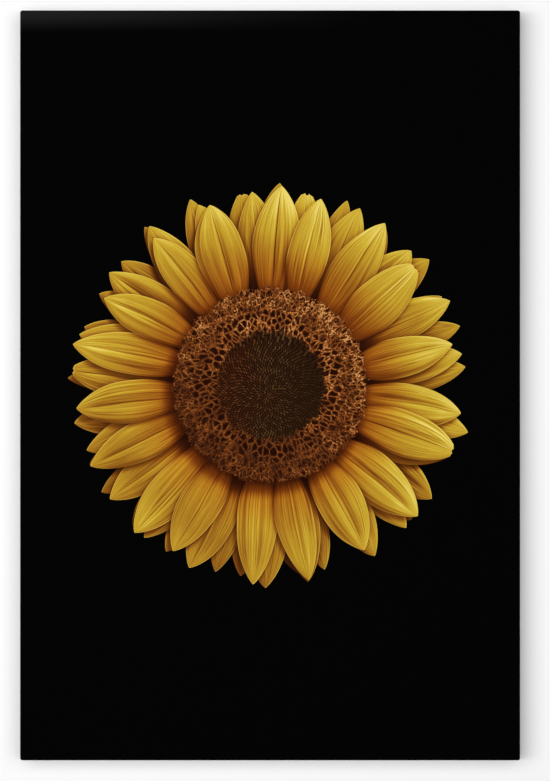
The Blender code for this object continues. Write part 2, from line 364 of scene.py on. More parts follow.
# %% Rows of petals
LEAN = 0.09
ROWS = (  # from the back: petals, first angle, swing, tips' distance from the middle, half widths
    (29, 0.05, 0.0, (152, 162), (12.5, 16.5)),
    (21, 0.12, 0.1, (154, 163), (14.5, 18.0)),
    (19, 0.235, 0.18, (149, 161), (15.0, 19.5)),
)


def petal_row(draw, row, count, start, swing, tips, halves):
    """A row of petals at even angles, every second one moved by swing."""
    for index in range(count):
        step = math.tau / count
        angle = start + index * step + swing * step * (index % 2) + draw.uniform(-0.06, 0.06) * step
        teeth = draw.choices((1, 2), (0.92, 0.08))[0]
        yield Petal(
            order=0,
            row=row,
            angle=angle,
            lean=draw.uniform(-LEAN, LEAN),
            length=draw.uniform(*tips) - ROOT,
            half=draw.uniform(*halves),
            belly=draw.uniform(0.42, 0.54),
            skew=draw.uniform(-0.10, 0.10),
            bend=draw.uniform(-5, 5),
            teeth=teeth,
            notch=draw.uniform(0.010, 0.018) * (teeth > 1),
            tone=draw.uniform(0.90, 1.06),
            seed=draw.random(),
        )


def plan_petals():
    draw = random.Random(11)
    rows = [list(petal_row(draw, index, *plan)) for index, plan in enumerate(ROWS)]
    for row in rows:
        draw.shuffle(row)
    petals = sum(rows, [])
    for order, petal in enumerate(petals):
        petal.order = order
    return petals


petals = plan_petals()
print(f"{len(petals)} petals in {len(ROWS)} rows")

# %% [markdown]
# ## Cutting the picture into faces
# The picture is part of the canvas's mesh, with no image file. A constrained triangulation keeps every
# petal's outline as a line of edges, wherever petals cross. A grid of extra points inside the petals
# lets light and shade change smoothly. Each triangle belongs to the topmost petal over its middle, or to
# the black ground.

# %% Arrangement
GRID = 1.15  # spacing of the points that carry light and shade
GROUND_GRID = 14.0
PETALS_END = 162.0


def grid_points(spacing, reach):
    rows = np.arange(-reach[1], reach[1], spacing * math.sqrt(0.75))
    points = []
    for index, height in enumerate(rows):
        xs = np.arange(-reach[0], reach[0], spacing) + spacing / 2 * (index % 2)
        points.append(np.column_stack([xs, np.full_like(xs, height)]))
    return np.concatenate(points)


def picture_points():
    """Loose points of the arrangement: fine over the petals, coarse elsewhere."""
    fine = grid_points(GRID, (PETALS_END, PETALS_END))
    radius = np.hypot(*fine.T)
    fine = fine[(radius > ROOT) & (radius < PETALS_END)]
    nearest = np.full(len(fine), 99.0)
    covered = np.zeros(len(fine), bool)
    for petal in petals:
        edge = petal.local(fine)[2]
        nearest = np.minimum(nearest, np.abs(edge))
        covered |= edge > 0
    fine = fine[covered & (nearest > GRID * 0.4)]
    coarse = grid_points(GROUND_GRID, (WIDTH / MM / 2 - 6, HEIGHT / MM / 2 - 6))
    radius = np.hypot(*coarse.T)
    coarse = coarse[(radius < ROOT - 3) | (radius > PETALS_END + 2)]
    return np.concatenate([fine, coarse])


def arrange(border):
    """Triangulates the picture inside its border. Returns points, triangles and each one's petal."""
    points = []
    lines = []
    for outline in (border, *(petal.outline() for petal in petals)):
        ids = [len(points) + index for index in range(len(outline))]
        lines += zip(ids, ids[1:] + ids[:1])
        points += map(Vector, outline)
    points += map(Vector, picture_points())
    found = delaunay_2d_cdt(points, lines, [], 0, 0.02, False)
    places = np.array([tuple(place) for place in found[0]])
    triangles = np.array(found[2])
    centres = places[triangles].mean(axis=1)
    owner = np.full(len(triangles), -1)  # the ground
    for petal in petals:
        owner[petal.local(centres)[2] > 0] = petal.order
    return places, triangles, owner


# %% [markdown]
# ## Light and shade in the picture
# The pictured flower is lit from the upper right. Its petals are arched across, ridged lengthways and
# droop at the tip, so each point catches its own share of that light. Higher petals and the thick disc
# throw soft shadows to the lower left. All of it becomes one number for each corner of a triangle, which
# the ink turns into colour.

# %% Light on petals
SUN = towards(math.radians(62))
SUN_HEIGHT = 0.85  # the light's rise for each unit of its reach across the picture
ROW_LIGHT = (0.74, 0.88, 1.0)  # for the back, middle and front rows
ROW_DEPTH = (0.88, 0.80, 0.0)  # how much of a row's light is lost close to the disc


def soft_step(value, start, end):
    share = np.clip((value - start) / (end - start), 0, 1)
    return share * share * (3 - 2 * share)


def relief_slope(petal, along, across):
    """The petal's slope along and across itself."""
    side = np.where(across < 0, -1, 1)
    half = np.maximum(petal.half_at(np.clip(along, 0, 1), side), 2.0)
    fade = soft_step(along, 0.05, 0.35) * (1 - soft_step(along, 0.8, 1.0))
    arch = -0.34 * across**3 - 0.12 * across
    phase = math.tau * petal.seed
    ridges = 0.16 * np.cos(across * 6.2 + phase) + 0.11 * np.cos(across * 13 + 2 * phase + 1.5 * along)
    fold = 0.30 * np.sin(np.clip((across - 0.05) / 0.3, -1, 1) * math.pi)
    droop = 0.42 - 0.85 * along + 0.10 * np.sin(9 * along + phase)
    return droop, arch + (ridges + fold) * fade * np.minimum(half / 12, 1)


def facing_light(petal, along, across):
    """How squarely the petal faces the light: 1 for a flat one."""
    slopes = relief_slope(petal, along, across)
    slope = np.outer(slopes[0], petal.direction) + np.outer(slopes[1], petal.left)
    lit = (SUN_HEIGHT - slope @ SUN) / np.sqrt(1 + (slope**2).sum(axis=1))
    return np.clip(lit / SUN_HEIGHT, 0.05, 2)


def shade_from_above(petal, points):
    """What is left of the light under higher petals and beside the disc."""
    left = np.ones(len(points))
    for other in petals:
        apart = abs(math.remainder(other.angle - petal.angle, math.tau))
        if other.order <= petal.order or apart > 0.7:
            continue
        drop = 2.4 + 2.0 * (other.row - petal.row)
        cast = soft_step(other.local(points + SUN * drop)[2], -2.6, 2.6)
        touch = np.exp(np.minimum(other.local(points)[2], 0) / 2.4)
        left *= (1 - 0.42 * cast) * (1 - 0.36 * touch)
    radius = np.hypot(*points.T)
    behind_disc = np.hypot(*(points + SUN * 8).T)
    left *= 1 - 0.46 * (1 - soft_step(behind_disc, RING_EDGE - 3, RING_EDGE + 8))
    far_side = soft_step(-(points @ SUN) / np.maximum(radius, 1), -0.2, 0.9)
    left *= 1 - (0.34 + 0.42 * far_side) * np.exp(-np.maximum(radius - RING_EDGE, 0) / 5.0)
    return left


def light_on(petal, points):
    along, across, edge = petal.local(points)
    radius = np.hypot(*points.T)
    lit = 0.36 + 0.64 * facing_light(petal, along, across)
    towards_tip = 0.71 + 0.33 * soft_step(radius, 80, 140) + 0.20 * soft_step(radius, 128, 156)
    between = 1 - 0.62 * np.exp(-np.maximum(edge, 0) / 1.5) * (1 - soft_step(radius, 82, 112))
    deep = 1 - ROW_DEPTH[petal.row] * (1 - soft_step(radius, 79, 101))
    own = ROW_LIGHT[petal.row] * towards_tip * between * deep * petal.tone
    return along, across, edge, lit * own * shade_from_above(petal, points)


print("light comes from the upper right of the picture")

# %% [markdown]
# ## The canvas
# The canvas is one sheet: the face, four sides and a turned-over border behind. A box with rounded
# corners and a rounded front rim has that shape. Its back is opened, and `solidify` gives the cloth its
# half millimetre. Then the plain front face is swapped for the picture's triangles.

# %% Canvas shell
RIM_STEPS = 4
HEM = 0.3 * MM  # plain strip between the rounded rim and the picture
STEP = 7 * MM  # length of a face along the wrap
LOOSE = 0.6 * MM  # most that the turned-over border stands off between staples
staple_boxes = [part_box(name) for name in nodes_with("_staple_")]
staple_middles = [(Vector(start) + Vector(end)) / 2 for start, end in staple_boxes]


def round_off(bm, edges, radius, steps=RIM_STEPS):
    shape = {"offset": radius, "segments": steps, "profile": 0.5}
    bmesh.ops.bevel(bm, geom=edges, affect="EDGES", material=-1, **shape)


def lift_at(x, z, share):
    """How far the border stands off the bar: held down at a staple, and loosest between two."""
    away = min(math.hypot(x - staple.x, z - staple.z) for staple in staple_middles)
    wave = 0.6 + 0.4 * math.sin(x * 61 + z * 47)
    return LOOSE * wave * soft_step(away, 7 * MM, 26 * MM) * soft_step(share, 0.3, 1.0)


def turn_over(bm, back):
    """Swaps the back face for the border that is turned over and stapled."""
    draw = random.Random(5)
    ring = list(back.verts)
    bmesh.ops.delete(bm, geom=[back], context="FACES_ONLY")
    ends = {}
    for vert in ring:
        x = min(max(vert.co.x, low.x + TURN_OVER), high.x - TURN_OVER)
        z = min(max(vert.co.z, low.z + TURN_OVER), high.z - TURN_OVER)
        ends[vert] = (round(x, 6), round(z, 6))
    for share in (0.25, 0.5, 0.75, 1.0):
        made = {}
        next_ring = []
        for vert, start in zip(ring, ends):
            x, z = (a + (b - a) * share for a, b in zip((start.co.x, start.co.z), ends[start]))
            key = (round(x, 6), round(z, 6))
            if key not in made:
                fray = draw.uniform(-0.4, 0.4) * MM * (share == 1.0)
                place = (x + fray, high.y + lift_at(x, z, share), z + fray)
                made[key] = bm.verts.new(place)
            next_ring.append(made[key])
        for index, vert in enumerate(ring):
            after = (index + 1) % len(ring)
            corners = dict.fromkeys((vert, ring[after], next_ring[after], next_ring[index]))
            bm.faces.new(corners)
        ring = next_ring


def close_at(bm, depth, facing):
    """One face across the opening at this depth, looking back (1) or forwards (-1)."""
    open_edges = [e for e in bm.edges if e.is_boundary]
    edges = [e for e in open_edges if all(abs(v.co.y - depth) < MM / 100 for v in e.verts)]
    face = bmesh.ops.contextual_create(bm, geom=edges)["faces"][0]
    face.normal_update()
    if face.normal.y * facing < 0:
        face.normal_flip()
    return face


def canvas_shell():
    """The cloth's closed shell. Its outer faces are tagged, and its front face is returned too."""
    bm = bmesh.new()
    box = Matrix.Translation(MIDDLE) @ Matrix.Diagonal((WIDTH, DEPTH, HEIGHT, 1))
    bmesh.ops.create_cube(bm, size=1.0, matrix=box)
    corners = [e for e in bm.edges if abs(e.verts[0].co.y - e.verts[1].co.y) > DEPTH / 2]
    round_off(bm, corners, SIDE_ROUND)
    rim = [e for e in bm.edges if all(v.co.y < FACE_Y + MM / 100 for v in e.verts)]
    round_off(bm, rim, RIM_ROUND)
    front = max(bm.faces, key=lambda face: -face.normal.y * face.calc_area())
    bmesh.ops.inset_region(bm, faces=[front], thickness=HEM, use_even_offset=True)
    back = max(bm.faces, key=lambda face: face.normal.y * face.calc_area())
    bmesh.ops.delete(bm, geom=[front, back], context="FACES_ONLY")
    for axis in (0, 2):
        long_edges = [e for e in bm.edges if abs(e.verts[0].co[axis] - e.verts[1].co[axis]) > 0.1]
        cuts = round(long_edges[0].calc_length() / STEP)
        bmesh.ops.subdivide_edges(bm, edges=long_edges, cuts=cuts)
    front = close_at(bm, FACE_Y, -1)
    turn_over(bm, close_at(bm, high.y, 1))
    outer = list(bm.faces)
    bm.normal_update()
    bmesh.ops.solidify(bm, geom=outer, thickness=CLOTH)
    for face in bm.faces:
        face.material_index = INSIDE
    for face in outer:
        face.material_index = WRAP
    return bm, front


PICTURE, WRAP, INSIDE = range(3)
shell, face_plate = canvas_shell()
print(len(shell.faces), "faces in the plain shell")

# %% [markdown]
# The picture's triangles take the front plate's place and join the shell at the plate's own vertices,
# so that the cloth stays one closed skin.


# %% Picture into the shell
def to_flower(co):
    return (co.x - FLOWER.x) / MM, (co.z - FLOWER.z) / MM


border_verts = [loop.vert for loop in face_plate.loops]
border = np.array([to_flower(vert.co) for vert in border_verts])
places, triangles, owner = arrange(border)
bmesh.ops.delete(shell, geom=[face_plate], context="FACES_ONLY")
known = {tuple(np.round(place, 2)): vert for place, vert in zip(border, border_verts)}
verts = []
for place in places:
    vert = known.get(tuple(np.round(place, 2)))
    if vert is None:
        vert = shell.verts.new((FLOWER.x + place[0] * MM, FACE_Y, FLOWER.z + place[1] * MM))
    verts.append(vert)
petal_order = shell.faces.layers.int.new("petal_order")
for face in shell.faces:
    face[petal_order] = -1
for corners, order in zip(triangles, owner):
    face = shell.faces.new([verts[index] for index in corners])
    face.material_index = PICTURE
    face[petal_order] = int(order)
gaps = sum(not edge.is_manifold for edge in shell.edges)
print(f"{len(triangles)} triangles in the picture; {gaps} open edges")

# %% [markdown]
# Each corner of a picture triangle carries what the ink needs to know: how far along and across its
# petal it lies, how much light falls there, how far the petal's edge is, and which petal it is.


# %% Canvas mesh and its values
SHARP = math.radians(35)  # edges that turn more than this look sharp


def add_piece(name, bm, *finishes):
    mesh = bpy.data.meshes.new(name)
    bm.to_mesh(mesh)
    bm.free()
    piece = bpy.data.objects.new(name, mesh)
    bpy.context.scene.collection.objects.link(piece)
    for finish in finishes:
        mesh.materials.append(finish)
    mesh.shade_smooth()
    mesh.set_sharp_from_angle(angle=SHARP)
    return piece


def read(items, name, width=1, kind=float):
    """One value, or one row of this width, for each of a mesh's items."""
    values = np.empty(len(items) * width, kind)
    items.foreach_get(name, values)
    return values.reshape(-1, width) if width > 1 else values


def corner_table(mesh):
    """(place, its face's normal, its face's material) for each corner."""
    corners = read(mesh.polygons, "loop_total", kind=int)
    place = read(mesh.vertices, "co", 3)[read(mesh.loops, "vertex_index", kind=int)]
    normal = np.repeat(read(mesh.polygons, "normal", 3), corners, axis=0)
    material = np.repeat(read(mesh.polygons, "material_index", kind=int), corners)
    return place, normal, material


def corner_values(mesh):
    """Light, edge distance, seed and the petal map for every corner, zero off the petals."""
    place, _, _ = corner_table(mesh)
    flat = (place[:, [0, 2]] - (FLOWER.x, FLOWER.z)) / MM
    orders = read(mesh.attributes["petal_order"].data, "value", kind=int)
    orders = np.repeat(orders, read(mesh.polygons, "loop_total", kind=int))
    values = {name: np.zeros(len(orders)) for name in ("light", "edge", "petal_seed")}
    petal_map = np.zeros((len(orders), 2))
    for petal in petals:
        at = np.flatnonzero(orders == petal.order)
        along, across, edge, light = light_on(petal, flat[at])
        petal_map[at] = np.column_stack([along, across])
        values["light"][at] = light
        values["edge"][at] = np.maximum(edge, 0)
        values["petal_seed"][at] = 0.1 + petal.seed
    for name, numbers in values.items():
        mesh.attributes.new(name, "FLOAT", "CORNER").data.foreach_set("value", numbers)
    add_map(mesh, "petal", petal_map)


def add_map(mesh, name, flat):
    mesh.uv_layers.new(name=name).uv.foreach_set("vector", flat.ravel())


def cloth_map(mesh):
    """Lays each face flat along the threads, in metres, by the axis it faces."""
    place, normal, _ = corner_table(mesh)
    facing = np.abs(normal).argmax(axis=1)
    flat = place[:, [0, 2]]
    flat[facing == 0, 0] = place[facing == 0, 1]
    flat[facing == 2, 1] = place[facing == 2, 1]
    add_map(mesh, "cloth", flat)


def bake_map(mesh):
    """Gives the picture most of the map, and every other part of the cloth its own strip beside it."""
    place, normal, material = corner_table(mesh)
    across, inward, up = ((place - np.array(low)) / (WIDTH, DEPTH, HEIGHT)).T
    facing = np.abs(normal).argmax(axis=1)
    positive = normal[np.arange(len(normal)), facing] > 0
    inside = material == INSIDE
    upright = facing == 1
    flat = np.column_stack([0.005 + 0.780 * across, 0.005 + 0.990 * up])
    strips = [
        (upright & positive & ~inside, across, up, (0.80, 0.52), (0.19, 0.47)),
        (upright & positive & inside, across, up, (0.80, 0.26), (0.09, 0.24)),
        (upright & ~positive & inside, across, up, (0.90, 0.26), (0.09, 0.24)),
    ]
    sides = itertools.product((~inside, inside), ((0, up), (2, across)), (positive, ~positive))
    for index, (layer, (axis, run), side) in enumerate(sides):
        start = (0.80 + 0.023 * index, 0.01)
        strips.append(((facing == axis) & layer & side, inward, run, start, (0.018, 0.23)))
    for chosen, first, second, start, size in strips:
        strip = np.column_stack([first, second])[chosen]
        flat[chosen] = np.array(start) + strip * size
    add_map(mesh, "OFBake", flat)


# %% [markdown]
# ## Cotton cloth
# Artist's canvas is a plain weave: each thread passes over one and under the next. Two crossed waves
# give that board of small bumps, and a slow wander keeps the threads from being ruled lines. The threads
# are about half a millimetre apart.

# %% Weave
THREAD = 0.52  # millimetres from thread to thread


def weave(finish):
    """Height of the plain weave from 0 to 1, following the cloth's own map."""
    metres = finish.map("cloth")
    wander = noise(metres, 90.0, 2.0, colour=True)
    along, across, _ = vector_math("MULTIPLY_ADD", wander, (0.0006, 0.0006, 0.0), metres).parts()
    step = math.pi / (THREAD * MM)
    warp = (along * step).math("SINE")
    weft = (across * step).math("SINE")
    slub = noise(metres, 700.0, 1.0)
    return warp * weft * 0.35 + slub * 0.4 + 0.3


print(f"{1 / THREAD * 10:.0f} threads to the centimetre")

# %% [markdown]
# ## Ink of the petals
# The light value picks the colour: deep red-brown in shade, then ochre, golden yellow, and pale yellow
# in full light. Fine veins follow the petal map along the petal and crowd together at both ends. A dark
# crease marks the midrib, fainter ones lie beside it, and the petal's edge catches a thin bright line.


# %% Petal ink
def petal_ink(finish):
    along, across, _ = finish.map("petal").parts()
    seed = finish.value("petal_seed")
    light = finish.value("light")
    edge = finish.value("edge")
    shift = seed * 37.0
    veins = noise(vector(across * 19.0 + shift, along * 1.6, shift), 1.0, 2.0, 0.6)
    streaks = noise(vector(across * 6.0 + shift, along * 0.8, shift + 5.0), 1.0, 2.0)
    mottle = noise(vector(across * 6.0, along * 7.0, shift + 9.0), 1.0, 2.0)
    folds = noise(vector(across * 2.3 + shift, along * 0.22, shift + 3.0), 1.0, 1.0)
    ends = along.rises(0.06, 0.25) * along.rises(0.86, 1.0, 1.0, 0.25)
    side_creases = folds.near(0.60, 0.016) + folds.near(0.41, 0.016)
    crease = folds.near(0.50, 0.020) * 0.26 + side_creases * 0.17
    ridge = folds.near(0.535, 0.020) * 0.22 + folds.near(0.445, 0.018) * 0.14
    rib = across + (noise(vector(along * 3.0, shift, 0.0), 1.0, 1.0) - 0.5) * 0.14
    midrib = rib.near(0.0, 0.045) * 0.40 * ends
    beside = rib.near(0.085, 0.06) * 0.20 * ends
    relief = (veins - 0.5) * 0.85 + (streaks - 0.5) * 0.42 + (mottle - 0.5) * 0.16 + 1.0
    lit = light * (relief + (ridge - crease) * ends + beside - midrib)
    colour = (lit * 0.64).ramp(
        (0.0, (0.008, 0.002, 0.001)),
        (0.14, (0.062, 0.015, 0.001)),
        (0.30, (0.180, 0.055, 0.004)),
        (0.48, (0.360, 0.165, 0.012)),
        (0.66, (0.495, 0.305, 0.021)),
        (0.84, (0.610, 0.440, 0.042)),
        (1.0, (0.800, 0.640, 0.150)),
    )
    root = along.rises(0.08, 0.66, 0.85, 0.0)
    warm = blend(root, colour, blend(1.0, colour, (1.06, 0.68, 0.52), "MULTIPLY"))
    rim = edge.rises(0.15, 0.8, 0.65, 0.0) * light.rises(0.35, 0.95) * along.rises(0.25, 0.5)
    return blend(rim, warm, (0.74, 0.49, 0.075))


# %% [markdown]
# ## Ink of the disc
# The florets of a sunflower's disc follow one rule: each new one turns by the golden angle, 0.382 of a
# full turn, and they crowd out in spirals. To find a point's floret, the point is written as a floret
# number and a turn, and rounded in the basis of the two spiral families that are strongest at its
# radius. Their step numbers are neighbours in the Fibonacci series. The closed florets in the middle
# show as small pale dashes. Round them, open ones are dark wells in an orange net, and beyond that their
# curled stigmas hide the wells.

# %% Disc ink
GOLDEN = 0.381966
SEED_SPACE = 1.30  # each floret in the disc's middle has a circle of this radius
WELL_SPACE = 2.55  # the same, past the middle's edge
SPIRAL_MIDDLE = (-3.2, -8.6)
RING_MIDDLE = 62.0  # radius at which the open florets are drawn at their true size
SERIES = (5, 8, 13, 21, 34, 55, 89)


def nearest_floret(radius, turn, edge):
    """(its number, millimetres outwards from it, millimetres round from it, its spacing)."""
    inner = radius.math("MINIMUM", edge)
    outer = radius.math("MAXIMUM", edge)
    count = inner * inner * (1 / SEED_SPACE**2) + (outer * outer - edge**2) * (1 / WELL_SPACE**2)
    space = radius.rises(edge - 0.5, edge + 0.5, SEED_SPACE, WELL_SPACE)
    strength = radius / space * 2.37
    small, large = radius * 0.0 + SERIES[0], radius * 0.0 + SERIES[1]
    for before, now, after in zip(SERIES, SERIES[1:], SERIES[2:]):
        past = strength.math("GREATER_THAN", now)
        small = small + past * (now - before)
        large = large + past * (after - now)
    small_turn = small * GOLDEN - (small * GOLDEN).math("ROUND")
    large_turn = large * GOLDEN - (large * GOLDEN).math("ROUND")
    start = count.math("ROUND")
    rest = count - start
    off = turn - start * GOLDEN
    off = off - off.math("ROUND")
    scale = small * large_turn - large * small_turn
    first = ((rest * large_turn - off * large) / scale).math("ROUND")
    second = ((off * small - rest * small_turn) / scale).math("ROUND")
    outwards = (rest - first * small - second * large) * space * space / (radius * 2.0 + 0.5)
    around = (off - first * small_turn - second * large_turn) * radius * math.tau
    return start + first * small + second * large, outwards, around, space * 1.9


def inside_cell(place, size, randomness=1.0):
    """Distance in millimetres from the edges of irregular cells of about this size."""
    return cells(place, size, randomness, "DISTANCE_TO_EDGE") * size


def warped(place, size, reach):
    """The place, moved about by up to half of reach, in waves of about this size."""
    push = vector_math("SUBTRACT", noise(place, 1 / size, 2.0, colour=True), (0.5, 0.5, 0.5))
    return vector_math("MULTIPLY_ADD", push, (reach, reach, reach), place)


def seed_ink(flat, from_middle):
    """The closed florets: small pale dashes along the spirals."""
    shift = from_middle.falls(20.0, RING_EDGE)
    x, z, _ = warped(flat, 3.0, 0.9).parts()
    x = x - shift * SPIRAL_MIDDLE[0]
    z = z - shift * SPIRAL_MIDDLE[1]
    radius = vector_math("LENGTH", vector(x, z))
    turn = z.math("ARCTAN2", x) * (1 / math.tau)
    number, outwards, around, spacing = nearest_floret(radius, turn, DISC_EDGE)
    grain = noise(flat, 1.1, 3.0, 0.6)
    out_share = (outwards / spacing).math("ABSOLUTE")
    around_share = (around / spacing).math("ABSOLUTE")
    dash = out_share.falls(0.32, 0.72) * around_share.falls(0.05, 0.32)
    glow = dash * chance(number).rises(0.1, 1.0, 0.45, 1.0) * grain.rises(0.3, 0.7, 0.5, 1.15)
    glow = glow * x.rises(2.0, 42.0, 1.0, 0.55)
    middle = glow.ramp(
        (0.0, (0.0110, 0.0040, 0.0013)),
        (0.45, (0.034, 0.0125, 0.0036)),
        (1.0, (0.132, 0.066, 0.024)),
    )
    warm = (x * -0.02 + noise(flat, 0.035, 1.0)).rises(0.2, 1.3)
    return blend(warm, middle, blend(1.0, middle, (1.26, 0.78, 0.58), "MULTIPLY"))


def ring_ink(flat, from_middle):
    """The open florets: a net of orange rims round dark wells, and curled threads outside it."""
    direction = vector_math("NORMALIZE", flat)
    x, z, _ = direction.parts()
    drum = vector(x * RING_MIDDLE, z * RING_MIDDLE, from_middle * 0.86)
    gap = inside_cell(warped(drum, 7.0, 3.4), 5.3, 0.85)
    net = gap.falls(0.10, 1.05)
    well = gap.rises(0.80, 1.45)
    drum = vector(x * RING_MIDDLE, z * RING_MIDDLE, from_middle * 0.52)
    curls = inside_cell(warped(drum, 3.6, 3.4), 3.3).falls(0.02, 0.62)
    small_curls = inside_cell(warped(drum, 2.4, 2.6), 2.1).falls(0.0, 0.42)
    threads = curls.math("MAXIMUM", small_curls * 0.72)
    woolly = (from_middle + (noise(flat, 0.09, 1.0) - 0.5) * 26.0).rises(54.0, 66.0)
    grain = noise(flat, 0.75, 3.0, 0.65)
    patch = noise(flat, 0.075, 2.0).rises(0.25, 0.75, 0.72, 1.28)
    raised = woolly * threads * 0.92 + (woolly * -1.0 + 1.0) * (net * 0.74 + small_curls * 0.14)
    side = x * SUN[0] + z * SUN[1]
    shade = side.rises(-1.0, 1.0, 0.66, 1.06) * grain.rises(0.25, 0.75, 0.40, 1.22) * patch
    ring = (raised * shade).ramp(
        (0.0, (0.018, 0.0034, 0.0008)),
        (0.30, (0.062, 0.0150, 0.0035)),
        (0.60, (0.215, 0.056, 0.0085)),
        (0.80, (0.430, 0.150, 0.029)),
        (1.0, (0.660, 0.345, 0.125)),
    )
    pits = well * (woolly * -0.6 + 1.0) * noise(flat, 0.16, 1.0).rises(0.28, 0.48)
    return blend(pits, ring, (0.0130, 0.0024, 0.0008)), grain


def disc_ink(finish):
    """The disc's colour, and how far it covers what lies under it."""
    x, _, z = finish.place().parts()
    flat = vector(x - FLOWER.x / MM, z - FLOWER.z / MM)
    from_middle = vector_math("LENGTH", flat)
    ring, grain = ring_ink(flat, from_middle)
    uneven = from_middle + (noise(flat, 0.11, 2.0) - 0.5) * 12.0 + (grain - 0.5) * 5.0
    colour = blend(uneven.rises(DISC_EDGE - 2, DISC_EDGE + 3), seed_ink(flat, from_middle), ring)
    tufts = (noise(flat, 0.55, 3.0, 0.6) - 0.5) * 11.0 + (noise(flat, 0.11, 1.0) - 0.5) * 9.0
    fringe = from_middle + tufts
    return colour, fringe.falls(RING_EDGE - 1.4, RING_EDGE + 0.2)


def ground_ink(finish):
    """Black, with a painted sheen: a faint grey band along the front of the top edge, strongest at the
    left and fading out to the right.
    """
    x, y, z = finish.place().parts()
    from_top = z * -1.0 + high.z / MM
    # Painted sheen: the ground is lighter in a band just under the top edge of the front, fading towards
    # the right.
    painted_sheen_and_bloom = from_top.falls(0.0, 19.0) * x.falls(-290.0, 120.0)
    front = (y - FACE_Y / MM).falls(1.0, 2.2)
    return blend(painted_sheen_and_bloom * front, (0.0009, 0.0009, 0.0009), (0.0130, 0.0132, 0.0135))


def picture_finish():
    finish = Finish("printed_picture", roughness=0.5, specular=0.10)
    on_petal = finish.value("petal_seed").rises(0.02, 0.06)
    disc, cover = disc_ink(finish)
    picture = blend(cover, blend(on_petal, ground_ink(finish), petal_ink(finish)), disc)
    finish.set("Base Color", picture)
    finish.bump(weave(finish), 0.06 * MM)
    return finish.material


def wrap_finish():
    """Black ink over the wrap, which ends in a soft line on the turned-over border."""
    finish = Finish("printed_wrap", roughness=0.5, specular=0.10)
    x, _, z = finish.place().parts()
    from_side = (x - MIDDLE.x / MM).math("ABSOLUTE") * -1.0 + WIDTH / MM / 2
    from_end = (z - MIDDLE.z / MM).math("ABSOLUTE") * -1.0 + HEIGHT / MM / 2
    inwards = from_side.math("MINIMUM", from_end)
    rough_line = noise(finish.place(), 0.6, 2.0) * 1.2
    bare = (inwards + rough_line).rises(8.0, 8.6)
    finish.set("Base Color", blend(bare, ground_ink(finish), raw_cotton(finish)))
    finish.bump(weave(finish), 0.10 * MM)
    return finish.material


def raw_cotton(finish):
    place = finish.place()
    tone = noise(place, 0.012, 2.0).rises(0.3, 0.7)
    threads = weave(finish)
    colour = blend(tone, (0.60, 0.555, 0.46), (0.64, 0.60, 0.51))
    fleck = noise(place, 0.8, 1.0).rises(0.72, 0.78) * 0.5
    colour = blend(fleck, colour, (0.30, 0.23, 0.15))
    # Painted shade: the low places of the weave, between the threads, are painted a darker brown.
    return blend(threads.rises(0.10, 0.65, 0.55, 0.0), colour, (0.27, 0.235, 0.175))


def cotton_finish():
    finish = Finish("raw_cotton", roughness=0.9, specular=0.2)
    finish.set("Base Color", raw_cotton(finish))
    finish.bump(weave(finish), 0.15 * MM)
    return finish.material


canvas = add_piece("canvas", shell, picture_finish(), wrap_finish(), cotton_finish())
corner_values(canvas.data)
cloth_map(canvas.data)
bake_map(canvas.data)
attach(canvas, "root")
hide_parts("printed_canvas")

# %% [markdown]
# ## Corner folds
# Where two turned-over borders meet, the spare cloth is folded under at 45 degrees and lies as a second
# layer on the back of each corner. Each is a thin plate with its folded edge on the diagonal.


# %% Corner folds
FOLD = 27 * MM  # how far the doubled cloth runs along the level bar


def corner_fold(right, top):
    """A thin plate on the back of one corner, with a softened lip."""
    far = FOLD / MM
    inner = TURN_OVER / MM - 0.8
    bm = bmesh.new()
    corners = []
    for x, z in ((1.8, 1.2), (far, 1.2), (far - 1.5, inner), (inner, inner - 0.4)):
        side = high.x - x * MM if right else low.x + x * MM
        end = high.z - z * MM if top else low.z + z * MM
        corners.append(bm.verts.new((side, high.y, end)))
    plate = bm.faces.new(corners)
    plate.normal_update()
    if plate.normal.y > 0:
        plate.normal_flip()
    raised = bmesh.ops.extrude_face_region(bm, geom=[plate])["geom"]
    raised = [v for v in raised if isinstance(v, bmesh.types.BMVert)]
    bmesh.ops.translate(bm, vec=(0, CLOTH, 0), verts=raised)
    bmesh.ops.recalc_face_normals(bm, faces=bm.faces)
    lip = [e for e in bm.edges if all(v.co.y > high.y + CLOTH / 2 for v in e.verts)]
    round_off(bm, lip, 0.22 * MM, 3)
    name = f"fold_{'top' if top else 'bottom'}_{'right' if right else 'left'}"
    return add_piece(name, bm, canvas.data.materials[WRAP])


def loose_threads(count):
    """Short ends of thread along the cut edge, where the weave has frayed."""
    draw = random.Random(23)
    bm = bmesh.new()
    for _ in range(count):
        level = draw.random() < 0.4
        side = draw.choice((-1, 1))
        span = (WIDTH if level else HEIGHT) / 2 - 30 * MM
        along = draw.uniform(-span, span)
        reach = (HEIGHT if level else WIDTH) / 2 - TURN_OVER
        length = draw.uniform(2, 8) * MM
        drift, curl = draw.uniform(-4, 4) * MM, draw.uniform(-2, 2) * MM
        for step in range(5):
            share = step / 4
            out = (reach + 0.6 * MM - length * share) * side
            sideways = along + drift * share + curl * math.sin(share * math.pi)
            lift = high.y - 0.2 * MM + 0.5 * MM * math.sin(share * 2.6)
            x, z = (sideways, out) if level else (out, sideways)
            middle = Vector((MIDDLE.x + x, lift, MIDDLE.z + z))
            spin = (Matrix.Rotation(math.tau * k / 3, 3, "Z" if level else "X") for k in range(3))
            offsets = [turn @ Vector((0, 0.13 * MM, 0)) for turn in spin]
            ring = [bm.verts.new(middle + offset) for offset in offsets]
            if step:
                for k in range(3):
                    bm.faces.new((last[k], last[(k + 1) % 3], ring[(k + 1) % 3], ring[k]))
            else:
                bm.faces.new(ring[::-1])
            last = ring
        bm.faces.new(last)
    bmesh.ops.recalc_face_normals(bm, faces=bm.faces)
    finish = Finish("cotton_thread", roughness=0.9, specular=0.2)
    finish.set("Base Color", (0.62, 0.57, 0.46))
    return add_piece("loose_threads", bm, finish.material)


